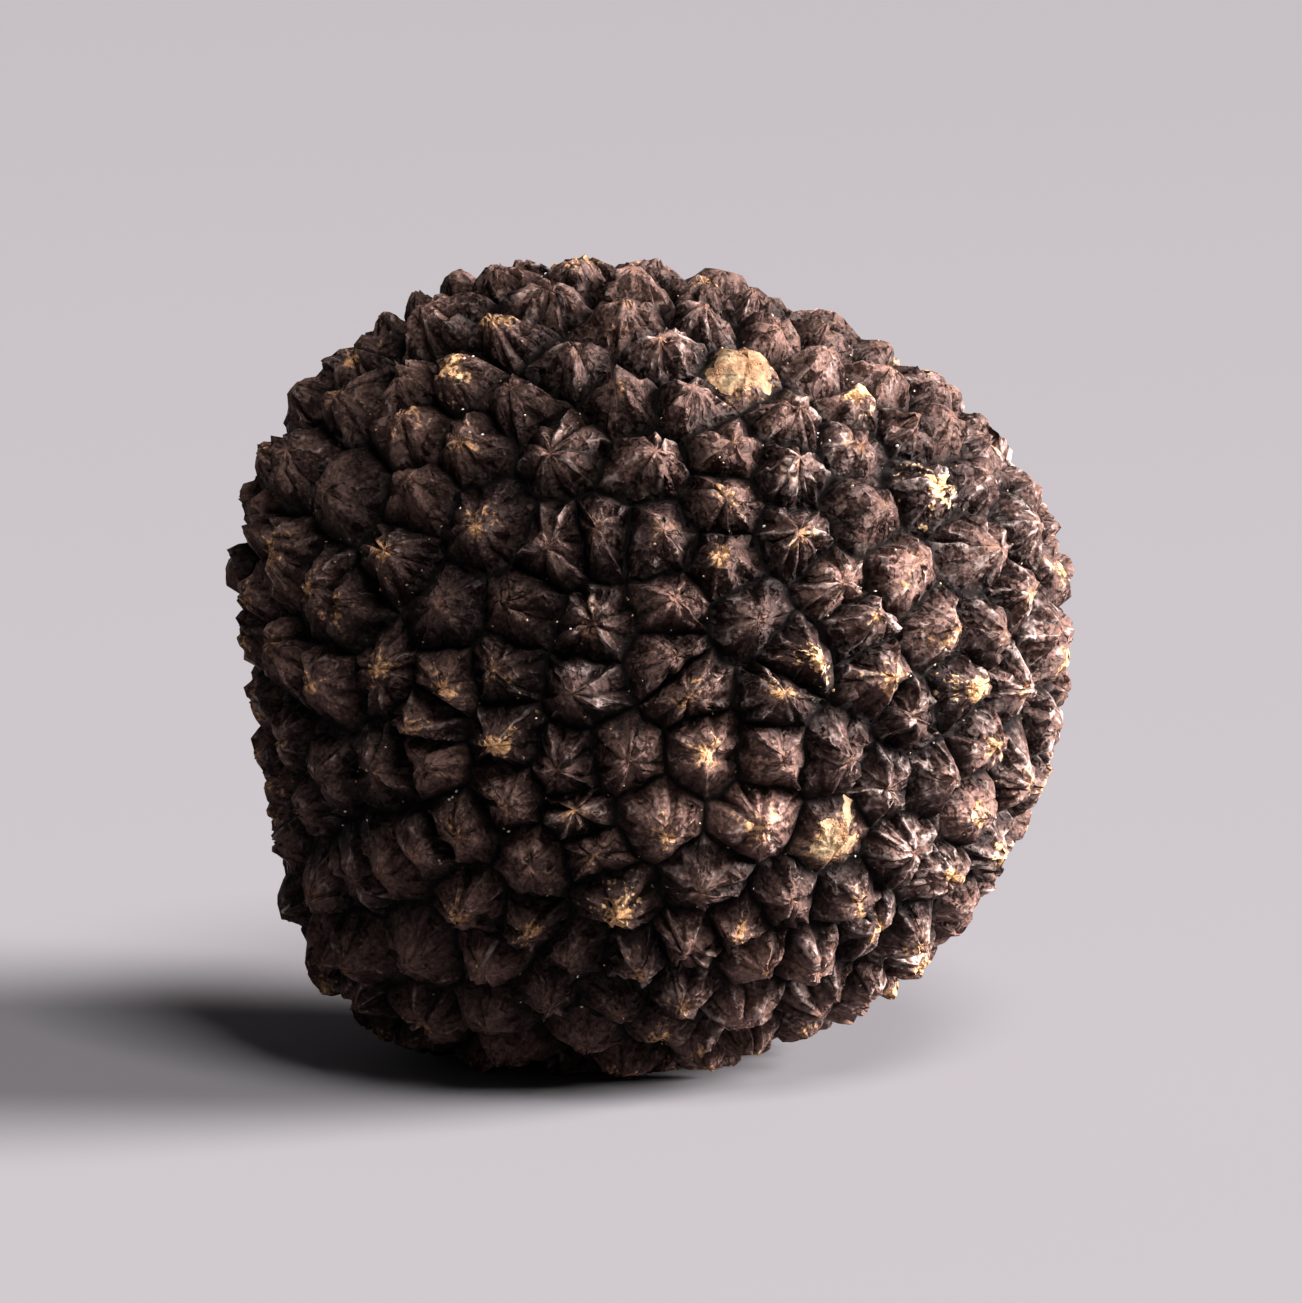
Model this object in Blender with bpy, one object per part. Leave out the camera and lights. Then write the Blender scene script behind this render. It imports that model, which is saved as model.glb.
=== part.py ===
"""A whole black summer truffle, one solid: a lumpy ball covered in polygonal pyramid warts.

The ball is a radius for every direction from its heart. Wart centres are spread over it, and the
Voronoi cell of each centre is the foot of one wart. Each foot is inset to make the wart's shoulder
and poked to raise its tip, so that narrow furrows run between the warts. The underside is pressed
flat where the truffle rests.

Metres, +Z up, +X along the longest side, -Y towards the side that is usually seen.
"""

import math
import random

import bmesh
import bpy
from mathutils import Vector

# Driving dimensions
SIDE_RADIUS = 0.0238  # heart to the rind's mean level, along X
DEPTH_RADIUS = 0.0232  # along Y
HEIGHT_RADIUS = 0.0245  # along Z
RESTING_HEIGHT = 0.0234  # heart above the surface that the truffle rests on
WART_COUNT = 380
FURROW_DEPTH = 0.00110  # mean level down to the bottom of the furrow
SHOULDER_DROP = 0.00025  # mean level down to the wart's shoulder
SHOULDER_WIDTH = 0.00050  # furrow's bottom to the wart's shoulder, measured across
TIP_HEIGHT = 0.00105  # mean level up to the tip of an average wart
SHORTEST_SIDE = 0.0007  # polygon corners closer than this are joined
SCAR_TIP_SHARE = 0.40  # how much of its tip a broken wart keeps

# Broad swellings of the ball: the way each one faces, its gain in radius and its spread
SWELLINGS = (
    ((-0.85, -0.10, 0.50), 0.125, 0.09),  # upper left shoulder
    ((-0.45, -0.05, 0.90), 0.070, 0.07),  # crown, left of the top
    ((0.35, 0.00, 0.93), -0.040, 0.07),  # right of the top, flatter
    ((0.92, -0.10, 0.35), 0.075, 0.12),  # right
    ((0.30, -0.15, -0.94), -0.045, 0.07),  # under the right, drawn in
    ((-0.70, -0.15, -0.70), 0.120, 0.08),  # lower left
    ((-0.98, -0.10, -0.15), -0.030, 0.10),  # left, a little hollow
    ((0.30, 0.90, 0.30), 0.030, 0.25),  # back
    ((-0.35, 0.85, -0.35), 0.035, 0.15),  # back, low
    ((0.15, 0.55, -0.80), -0.030, 0.10),  # a shallow hollow under the back
)

# The ways in which the two broken warts face
SCARS = (
    (0.17, -0.45, 0.88),
    (0.50, -0.82, -0.285),
)

SEED = 11
JITTER = 0.62  # of the mean distance between neighbouring centres
RELAXING_ROUNDS = 1
GOLDEN_ANGLE = math.pi * (3 - math.sqrt(5))


def clear_scene():
    """Removes whatever the scene starts with."""
    for obj in list(bpy.data.objects):
        bpy.data.objects.remove(obj, do_unlink=True)


def body_radius(direction):
    """Distance from the heart to the rind's mean level along a unit direction."""
    x, y, z = direction
    radius = 1 / math.sqrt((x / SIDE_RADIUS) ** 2 + (y / DEPTH_RADIUS) ** 2 + (z / HEIGHT_RADIUS) ** 2)
    gain = 1.0
    for facing, swell, spread in SWELLINGS:
        gain += swell * math.exp((direction.dot(Vector(facing).normalized()) - 1) / spread)
    return radius * gain


def on_body(direction, height=0.0):
    """The point in that direction, at a height above the rind's mean level."""
    return direction * (body_radius(direction) + height)


def scattered_directions(chance):
    """A Fibonacci spiral of directions, each nudged sideways at random."""
    spacing = math.sqrt(4 * math.pi / WART_COUNT)
    directions = []
    for index in range(WART_COUNT):
        z = 1 - (2 * index + 1) / WART_COUNT
        ring = math.sqrt(1 - z * z)
        angle = index * GOLDEN_ANGLE
        nudge = Vector([chance.uniform(-1, 1) for _ in range(3)]) * spacing * JITTER
        point = Vector((ring * math.cos(angle), ring * math.sin(angle), z)) + nudge
        directions.append(point.normalized())
    return directions


def voronoi_cells(directions):
    """For each direction, the ring of corner directions round its cell, anticlockwise from outside."""
    hull = bmesh.new()
    centres = [hull.verts.new(direction) for direction in directions]
    bmesh.ops.convex_hull(hull, input=centres, use_existing_faces=False)
    hull.normal_update()
    cells = []
    for centre, direction in zip(centres, directions):
        east = direction.orthogonal().normalized()
        north = direction.cross(east)
        corners = [face.normal.copy() for face in centre.link_faces]
        corners.sort(key=lambda corner: math.atan2(corner.dot(north), corner.dot(east)))
        cells.append(corners)
    hull.free()
    return cells


def wart_net():
    """A closed net of polygons, the feet of the warts, at the rind's mean level.

    The net's "wart" layer numbers the polygons.
    """
    directions = scattered_directions(random.Random(SEED))
    for _ in range(RELAXING_ROUNDS):
        cells = voronoi_cells(directions)
        directions = [sum(corners, Vector()).normalized() for corners in cells]
    net = bmesh.new()
    number = net.faces.layers.int.new("wart")
    for index, corners in enumerate(voronoi_cells(directions)):
        face = net.faces.new([net.verts.new(on_body(corner)) for corner in corners])
        face[number] = index
    bmesh.ops.remove_doubles(net, verts=net.verts, dist=SHORTEST_SIDE)
    return net


def wart_traits(index):
    """The random character of one wart: its tip's height factor and its lean east and north."""
    chance = random.Random(SEED * 1000 + index)
    return chance.uniform(0.72, 1.28), chance.uniform(-0.22, 0.22), chance.uniform(-0.22, 0.22)


def broken_warts(net):
    """The numbers of the warts that lie nearest to the scars."""
    number = net.faces.layers.int["wart"]
    broken = set()
    for scar in SCARS:
        way = Vector(scar).normalized()
        nearest = max(net.faces, key=lambda face: face.calc_center_median().normalized().dot(way))
        broken.add(nearest[number])
    return broken


def raise_warts(net):
    """Sinks the net into the furrows, then insets and pokes each polygon into a wart."""
    number = net.faces.layers.int["wart"]
    broken = broken_warts(net)
    for vertex in net.verts:
        vertex.co -= vertex.co.normalized() * FURROW_DEPTH
    feet = list(net.faces)
    bmesh.ops.inset_individual(net, faces=feet, thickness=SHOULDER_WIDTH, use_even_offset=True)
    for foot in feet:
        index = foot[number]
        factor, lean_east, lean_north = wart_traits(index)
        if index in broken:
            factor *= SCAR_TIP_SHARE
        middle = foot.calc_center_median()
        reach = sum((vertex.co - middle).length for vertex in foot.verts) / len(foot.verts)
        out = middle.normalized()
        east = out.orthogonal().normalized()
        north = out.cross(east)
        for vertex in foot.verts:
            vertex.co = on_body(vertex.co.normalized(), -SHOULDER_DROP)
        tip = bmesh.ops.poke(net, faces=[foot])["verts"][0]
        sideways = (middle + (east * lean_east + north * lean_north) * reach).normalized()
        tip.co = on_body(sideways, TIP_HEIGHT * factor)


def press_flat(net):
    """Moves the heart to its resting height, cuts off what is below the surface and closes the cut."""
    bmesh.ops.translate(net, verts=net.verts, vec=(0, 0, RESTING_HEIGHT))
    everything = [*net.verts, *net.edges, *net.faces]
    bmesh.ops.bisect_plane(net, geom=everything, plane_co=(0, 0, 0), plane_no=(0, 0, 1), clear_inner=True)
    rim = [edge for edge in net.edges if edge.is_boundary]
    bmesh.ops.triangle_fill(net, edges=rim, use_beauty=True, normal=(0, 0, -1))


def centre_on_base(net):
    """Puts the middle of the box's base at the origin."""
    for axis in (0, 1):
        places = [vertex.co[axis] for vertex in net.verts]
        middle = (min(places) + max(places)) / 2
        for vertex in net.verts:
            vertex.co[axis] -= middle


def rind_material():
    """Near-black, matt, slightly brown rind."""
    material = bpy.data.materials.new("rind")
    material.use_nodes = True
    shader = material.node_tree.nodes["Principled BSDF"]
    shader.inputs["Base Color"].default_value = (0.030, 0.020, 0.016, 1.0)
    shader.inputs["Roughness"].default_value = 0.62
    shader.inputs["Metallic"].default_value = 0.0
    return material


def build_truffle():
    """Makes the one object, black_truffle."""
    net = wart_net()
    raise_warts(net)
    press_flat(net)
    centre_on_base(net)
    bmesh.ops.recalc_face_normals(net, faces=net.faces)
    mesh = bpy.data.meshes.new("black_truffle")
    net.to_mesh(mesh)
    net.free()
    mesh.materials.append(rind_material())
    truffle = bpy.data.objects.new("black_truffle", mesh)
    bpy.context.scene.collection.objects.link(truffle)
    return truffle


clear_scene()
build_truffle()
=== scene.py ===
"""The looks of a whole black summer truffle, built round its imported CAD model.

The CAD solid is a lumpy ball of polygonal warts. Here the same net of warts is laid out again, each
wart gets a fine mesh of rings and spokes, and a Geometry Nodes tree raises furrows, shoulders,
flutes, clefts and tips on it. A second tree sprinkles grains of soil into the furrows.

Metres, +Z up, -Y towards the side that is usually seen.
"""

import enum
import logging
import math
import random
from collections.abc import Iterable, Sequence
from dataclasses import dataclass, field
from typing import Any

import bmesh
import bpy
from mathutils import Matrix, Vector, noise


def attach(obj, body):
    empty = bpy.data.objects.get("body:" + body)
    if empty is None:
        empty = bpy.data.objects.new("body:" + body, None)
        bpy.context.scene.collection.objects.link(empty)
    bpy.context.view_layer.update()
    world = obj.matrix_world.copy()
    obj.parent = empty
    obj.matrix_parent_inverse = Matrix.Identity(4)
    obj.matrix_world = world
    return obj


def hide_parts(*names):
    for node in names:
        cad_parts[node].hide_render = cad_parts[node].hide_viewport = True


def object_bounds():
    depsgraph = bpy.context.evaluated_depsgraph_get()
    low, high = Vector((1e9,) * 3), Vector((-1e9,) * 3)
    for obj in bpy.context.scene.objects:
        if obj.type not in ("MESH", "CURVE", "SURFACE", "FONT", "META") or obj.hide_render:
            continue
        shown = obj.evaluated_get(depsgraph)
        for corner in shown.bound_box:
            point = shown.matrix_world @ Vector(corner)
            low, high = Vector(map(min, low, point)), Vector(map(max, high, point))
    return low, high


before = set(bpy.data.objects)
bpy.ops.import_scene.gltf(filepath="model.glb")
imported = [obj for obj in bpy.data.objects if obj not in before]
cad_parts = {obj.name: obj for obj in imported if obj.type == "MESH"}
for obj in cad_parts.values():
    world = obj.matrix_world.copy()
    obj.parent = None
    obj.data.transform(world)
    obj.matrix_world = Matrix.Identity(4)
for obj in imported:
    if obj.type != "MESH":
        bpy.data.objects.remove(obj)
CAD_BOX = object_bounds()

LOG = logging.getLogger("black_truffle")
NODE = "black_truffle"
BODY = "root"
MM = 0.001
GOLDEN_ANGLE = math.pi * (3 - math.sqrt(5))

Colour = tuple[float, float, float]
Triple = tuple[float, float, float]
Span = tuple[float, float]
Tone = tuple[float, float, float, float]


class WartState(enum.Enum):
    """What has happened to a wart since it grew."""

    WHOLE = "whole"
    CLEFT = "split across its tip"
    NOTCHED = "split on one side"
    DIMPLED = "sunk at its tip"
    BROKEN = "tip broken off, flesh showing"


# ---------------------------------------------------------------------------------------------
# Node trees written as expressions
# ---------------------------------------------------------------------------------------------


class Wire:
    """A number that runs through a node tree. Its operators add the Math nodes."""

    def __init__(self, bench: "Bench", socket: bpy.types.NodeSocket) -> None:
        """Wraps an output socket of a tree."""
        self.bench = bench
        self.socket = socket

    def __add__(self, other: "Number") -> "Wire":
        """self + other."""
        return self.bench.math("ADD", self, other)

    def __sub__(self, other: "Number") -> "Wire":
        """self - other."""
        return self.bench.math("SUBTRACT", self, other)

    def __mul__(self, other: "Number") -> "Wire":
        """self * other."""
        return self.bench.math("MULTIPLY", self, other)

    def __truediv__(self, other: "Number") -> "Wire":
        """self / other."""
        return self.bench.math("DIVIDE", self, other)

    def __pow__(self, other: "Number") -> "Wire":
        """self ** other."""
        return self.bench.math("POWER", self, other)

    def __rsub__(self, other: "Number") -> "Wire":
        """other - self."""
        return self.bench.math("SUBTRACT", other, self)

    __radd__ = __add__
    __rmul__ = __mul__

    def at_least(self, low: "Number") -> "Wire":
        """The larger of this and low."""
        return self.bench.math("MAXIMUM", self, low)

    def at_most(self, high: "Number") -> "Wire":
        """The smaller of this and high."""
        return self.bench.math("MINIMUM", self, high)

    def size(self) -> "Wire":
        """This number without its sign."""
        return self.bench.math("ABSOLUTE", self)

    def step(self, low: "Number", high: "Number") -> "Wire":
        """A smooth step from 0 where this is low to 1 where it is high.

        Args:
            low: The value below which the result is 0.
            high: The value above which the result is 1.

        Returns:
            The step.
        """
        settings = {"interpolation_type": "SMOOTHSTEP"}
        node = self.bench.node("ShaderNodeMapRange", settings, {"Value": self, 1: low, 2: high})
        return Wire(self.bench, node.outputs[0])


Number = Wire | float


class Arrow:
    """A vector or a colour that runs through a node tree. Its operators add Vector Math nodes."""

    def __init__(self, bench: "Bench", socket: bpy.types.NodeSocket) -> None:
        """Wraps an output socket of a tree."""
        self.bench = bench
        self.socket = socket

    def __add__(self, other: "Arrow | Triple") -> "Arrow":
        """self + other."""
        return self.bench.vector("ADD", self, other)

    def __sub__(self, other: "Arrow | Triple") -> "Arrow":
        """self - other."""
        return self.bench.vector("SUBTRACT", self, other)

    def __mul__(self, other: Number) -> "Arrow":
        """self scaled by a number."""
        node = self.bench.node("ShaderNodeVectorMath", {"operation": "SCALE"}, {0: self, "Scale": other})
        return Arrow(self.bench, node.outputs["Vector"])

    def dot(self, other: "Arrow | Triple") -> Wire:
        """How far this vector reaches along another, times the other's length."""
        node = self.bench.node("ShaderNodeVectorMath", {"operation": "DOT_PRODUCT"}, {0: self, 1: other})
        return Wire(self.bench, node.outputs["Value"])

    def unit(self) -> "Arrow":
        """This vector at length 1."""
        return self.bench.vector("NORMALIZE", self)

    def parts(self) -> tuple[Wire, Wire, Wire]:
        """The x, y and z of this vector."""
        node = self.bench.node("ShaderNodeSeparateXYZ", {}, {0: self})
        return tuple(Wire(self.bench, output) for output in node.outputs)


class Bench:
    """A node tree and the few ways in which nodes are put on it."""

    def __init__(self, tree: bpy.types.NodeTree) -> None:
        """Works on an existing tree."""
        self.tree = tree

    def node(self, kind: str, settings: dict[str, Any], inputs: dict[int | str, Any]) -> bpy.types.Node:
        """Adds a node.

        Args:
            kind: The node's type.
            settings: Properties of the node, which are set first.
            inputs: For a socket's name or number, its value or what is linked to it.

        Returns:
            The node.
        """
        made = self.tree.nodes.new(kind)
        for name, value in settings.items():
            setattr(made, name, value)
        for key, value in inputs.items():
            source = getattr(value, "socket", value)
            if isinstance(source, bpy.types.NodeSocket):
                self.tree.links.new(source, made.inputs[key])
            else:
                made.inputs[key].default_value = source
        return made

    def math(self, operation: str, *values: Number) -> Wire:
        """One Math node on one, two or three numbers."""
        inputs = dict(enumerate(values))
        return Wire(self, self.node("ShaderNodeMath", {"operation": operation}, inputs).outputs[0])

    def vector(self, operation: str, *values: Arrow | Triple) -> Arrow:
        """One Vector Math node on one or two vectors."""
        inputs = dict(enumerate(values))
        return Arrow(self, self.node("ShaderNodeVectorMath", {"operation": operation}, inputs).outputs[0])

    def join(self, x: Number, y: Number, z: Number) -> Arrow:
        """A vector from three numbers."""
        return Arrow(self, self.node("ShaderNodeCombineXYZ", {}, {0: x, 1: y, 2: z}).outputs[0])

    def noise(self, at: Arrow, scale: float, detail: float = 2.0, rough: float = 0.5) -> Wire:
        """Soft random numbers round 0.5.

        Args:
            at: Where to read the noise.
            scale: Lumps for each unit of length.
            detail: How many finer layers are added.
            rough: How strong each finer layer is.

        Returns:
            The noise's value.
        """
        inputs = {"Vector": at, "Scale": scale, "Detail": detail, "Roughness": rough}
        node = self.node("ShaderNodeTexNoise", {"noise_dimensions": "3D"}, inputs)
        return Wire(self, node.outputs[0])

    def cells(self, at: Arrow, scale: float) -> bpy.types.Node:
        """A Voronoi texture, whose cells have a random colour and a middle each."""
        return self.node("ShaderNodeTexVoronoi", {}, {"Vector": at, "Scale": scale})

    def chips(self, at: Arrow, scale: float) -> tuple[Wire, Wire]:
        """Flat chips that all slope their own way.

        Args:
            at: Where to read them.
            scale: Chips for each unit of length.

        Returns:
            The height at a slope of about 1, in the units of at, and a random tone for each chip.
        """
        cells = self.cells(at, scale)
        off = at - Arrow(self, cells.outputs["Position"])
        dye = Arrow(self, cells.outputs["Color"])
        return off.dot(dye - (0.5, 0.5, 0.5)) * 2.0, dye.parts()[0]

    def blend(self, factor: Number, low: Arrow | Colour, high: Arrow | Colour) -> Arrow:
        """Mixes two colours.

        Args:
            factor: 0 gives low and 1 gives high.
            low: The first colour.
            high: The second colour.

        Returns:
            The mixed colour.
        """
        first, second = (c if isinstance(c, Arrow) else (*c, 1.0) for c in (low, high))
        node = self.node("ShaderNodeMix", {"data_type": "RGBA"}, {0: factor, 6: first, 7: second})
        return Arrow(self, node.outputs[2])


# ---------------------------------------------------------------------------------------------
# The ball and its net of warts, laid out as in the CAD model
# ---------------------------------------------------------------------------------------------


@dataclass
class TruffleBall:
    """The lumpy ball under the warts: a radius for every direction from its heart."""

    side_radius: float = 23.8 * MM
    depth_radius: float = 23.2 * MM
    height_radius: float = 24.5 * MM
    resting_height: float = 23.4 * MM
    swellings: Sequence[tuple[Triple, float, float]] = (
        ((-0.85, -0.10, 0.50), 0.125, 0.09),  # upper left shoulder
        ((-0.45, -0.05, 0.90), 0.070, 0.07),  # crown, left of the top
        ((0.35, 0.00, 0.93), -0.040, 0.07),  # right of the top, flatter
        ((0.92, -0.10, 0.35), 0.075, 0.12),  # right
        ((0.30, -0.15, -0.94), -0.045, 0.07),  # under the right, drawn in
        ((-0.70, -0.15, -0.70), 0.120, 0.08),  # lower left
        ((-0.98, -0.10, -0.15), -0.030, 0.10),  # left, a little hollow
        ((0.30, 0.90, 0.30), 0.030, 0.25),  # back
        ((-0.35, 0.85, -0.35), 0.035, 0.15),  # back, low
        ((0.15, 0.55, -0.80), -0.030, 0.10),  # a shallow hollow under the back
    )

    def radius(self, way: Vector) -> float:
        """Distance from the heart to the rind's mean level.

        Args:
            way: A unit direction.

        Returns:
            The distance.
        """
        x, y, z = way.x / self.side_radius, way.y / self.depth_radius, way.z / self.height_radius
        gain = 1.0
        for facing, swell, spread in self.swellings:
            gain += swell * math.exp((way.dot(Vector(facing).normalized()) - 1) / spread)
        return gain / math.sqrt(x * x + y * y + z * z)

    def point(self, way: Vector) -> Vector:
        """The point on the ball in that direction, which need not be a unit one."""
        unit = way.normalized()
        return unit * self.radius(unit)


@dataclass
class WartFoot:
    """One wart's foot: its number and the net points at its corners, anticlockwise from outside."""

    number: int
    corners: list[int]


@dataclass
class WartNet:
    """The net of polygons that the warts stand on."""

    ball: TruffleBall
    count: int = 380
    seed: int = 11
    jitter: float = 0.62  # of the mean distance between neighbouring centres
    relaxing_rounds: int = 1
    shortest_side: float = 0.7 * MM
    points: list[Vector] = field(default_factory=list)
    feet: list[WartFoot] = field(default_factory=list)

    def lay_out(self) -> None:
        """Fills points and feet."""
        ways = self.scattered_ways()
        for _ in range(self.relaxing_rounds):
            ways = [sum(corners, Vector()).normalized() for corners in self.cells(ways)]
        net = bmesh.new()
        number = net.faces.layers.int.new("wart")
        for index, corners in enumerate(self.cells(ways)):
            face = net.faces.new([net.verts.new(self.ball.point(corner)) for corner in corners])
            face[number] = index
        bmesh.ops.remove_doubles(net, verts=net.verts, dist=self.shortest_side)
        net.verts.index_update()
        self.points = [vertex.co.copy() for vertex in net.verts]
        self.feet = [WartFoot(face[number], [vertex.index for vertex in face.verts]) for face in net.faces]
        net.free()

    def scattered_ways(self) -> list[Vector]:
        """A Fibonacci spiral of directions, each nudged sideways at random.

        Returns:
            One unit direction for each wart.
        """
        chance = random.Random(self.seed)
        spacing = math.sqrt(4 * math.pi / self.count)
        ways = []
        for index in range(self.count):
            z = 1 - (2 * index + 1) / self.count
            ring = math.sqrt(1 - z * z)
            angle = index * GOLDEN_ANGLE
            nudge = Vector([chance.uniform(-1, 1) for _ in range(3)]) * spacing * self.jitter
            ways.append((Vector((ring * math.cos(angle), ring * math.sin(angle), z)) + nudge).normalized())
        return ways

    @staticmethod
    def cells(ways: Sequence[Vector]) -> list[list[Vector]]:
        """The Voronoi cell round each direction.

        Args:
            ways: Unit directions.

        Returns:
            For each direction, the directions of its cell's corners, anticlockwise from outside.
        """
        hull = bmesh.new()
        centres = [hull.verts.new(way) for way in ways]
        bmesh.ops.convex_hull(hull, input=centres, use_existing_faces=False)
        hull.normal_update()
        cells = []
        for centre, way in zip(centres, ways):
            east = way.orthogonal().normalized()
            north = way.cross(east)
            corners = [face.normal.copy() for face in centre.link_faces]
            corners.sort(key=lambda corner: math.atan2(corner.dot(north), corner.dot(east)))
            cells.append(corners)
        hull.free()
        return cells


# ---------------------------------------------------------------------------------------------
# The fine mesh: rings and spokes on every wart
# ---------------------------------------------------------------------------------------------


@dataclass
class WartPlan:
    """One wart's own character, drawn at random from its number."""

    state: WartState
    bulk: float  # share of the usual tip height
    lean_east: float  # how far the tip stands off the middle, as a share of the foot's reach
    lean_north: float
    tilt_east: float  # slope of the top
    tilt_north: float
    stature: float  # metres above or below the usual shoulder level
    blunt: float  # share of the tip height at which the pyramid is worn flat
    bulge: float  # 1 for straight flanks, more for round ones
    fluting: float  # share of the usual depth of the flutes
    tone: Tone  # brownness, wear, lightness and a free number


@dataclass(frozen=True)
class WartHabit:
    """How much the warts differ from one another."""

    bulk: Span = (0.72, 1.28)  # share of the usual tip height
    broken_bulk: float = 0.40  # how much of that a broken wart keeps
    lean: float = 0.22  # farthest that a tip stands off the middle, as a share of the foot's reach
    tilt: float = 0.16  # steepest slope of a top
    stature: float = 0.17 * MM
    cleft: float = 0.18  # share of the warts that are split across
    notched: float = 0.42  # share of the warts that are split at all
    dimpled: float = 0.68  # share of the warts that are split or dimpled
    blunt: Span = (0.78, 1.04)
    broken_blunt: float = 0.62
    bulge: Span = (1.4, 2.2)
    fluting: Span = (0.25, 1.1)
    broken_fluting: float = 0.15
    rubbed_wear: float = 1.3  # an ordinary wart's wear is 0 to 1
    broken_wear: float = 2.0

    def draw(self, number: int, seed: int, broken: bool, rubbed: bool) -> WartPlan:
        """Draws a wart's character.

        Args:
            number: The wart's number in the net.
            seed: The net's seed.
            broken: Whether this wart lost its tip.
            rubbed: Whether this wart's tip is rubbed through to the paler layer.

        Returns:
            The plan.
        """
        chance = random.Random(seed * 1000 + number)
        bulk = chance.uniform(*self.bulk)
        lean_east = chance.uniform(-self.lean, self.lean)
        lean_north = chance.uniform(-self.lean, self.lean)
        fate = chance.random()
        state = WartState.WHOLE
        if broken:
            state = WartState.BROKEN
            bulk *= self.broken_bulk
        elif fate < self.cleft:
            state = WartState.CLEFT
        elif fate < self.notched:
            state = WartState.NOTCHED
        elif fate < self.dimpled:
            state = WartState.DIMPLED
        wear = max(chance.random(), self.rubbed_wear * rubbed, self.broken_wear * broken)
        return WartPlan(
            state=state,
            bulk=bulk,
            lean_east=lean_east,
            lean_north=lean_north,
            tilt_east=chance.uniform(-self.tilt, self.tilt),
            tilt_north=chance.uniform(-self.tilt, self.tilt),
            stature=chance.uniform(-1, 1) * self.stature,
            blunt=self.broken_blunt if broken else chance.uniform(*self.blunt),
            bulge=chance.uniform(*self.bulge),
            fluting=self.broken_fluting if broken else chance.uniform(*self.fluting),
            tone=(chance.random(), wear, chance.random(), chance.random()),
        )


@dataclass
class FineMesh:
    """Vertices, triangles and the attributes that the relief and the finish read."""

    places: list[Vector] = field(default_factory=list)
    marks: dict[str, list[float]] = field(default_factory=dict)  # one number for each vertex
    triangles: list[tuple[int, int, int]] = field(default_factory=list)
    spokes: list[Triple] = field(default_factory=list)  # for each corner: cosine, sine, wart's number
    tones: list[Tone] = field(default_factory=list)

    def add_place(self, place: Vector, **marks: float) -> int:
        """Adds a vertex.

        Args:
            place: Where it is.
            **marks: Its marks.

        Returns:
            Its number.
        """
        self.places.append(place)
        for name, value in marks.items():
            self.marks.setdefault(name, []).append(value)
        return len(self.places) - 1

    def to_object(self, name: str) -> bpy.types.Object:
        """Makes a mesh object of it.

        Args:
            name: The object's name.

        Returns:
            The object, linked to the scene.
        """
        mesh = bpy.data.meshes.new(name)
        mesh.from_pydata(self.places, [], self.triangles)
        for mark, values in self.marks.items():
            mesh.attributes.new(mark, "FLOAT", "POINT").data.foreach_set("value", values)
        spokes = mesh.attributes.new("spoke", "FLOAT_VECTOR", "CORNER")
        spokes.data.foreach_set("vector", [number for spoke in self.spokes for number in spoke])
        tones = mesh.attributes.new("tone", "FLOAT_COLOR", "CORNER")
        tones.data.foreach_set("color", [number for tone in self.tones for number in tone])
        made = bpy.data.objects.new(name, mesh)
        bpy.context.scene.collection.objects.link(made)
        return made


@dataclass
class Spoke:
    """One line of mesh points from a wart's border to its tip."""

    border: int  # number of its vertex on the border
    angle: float
    flute: float  # crest above 0, valley below 0
    cleft: float


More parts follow.
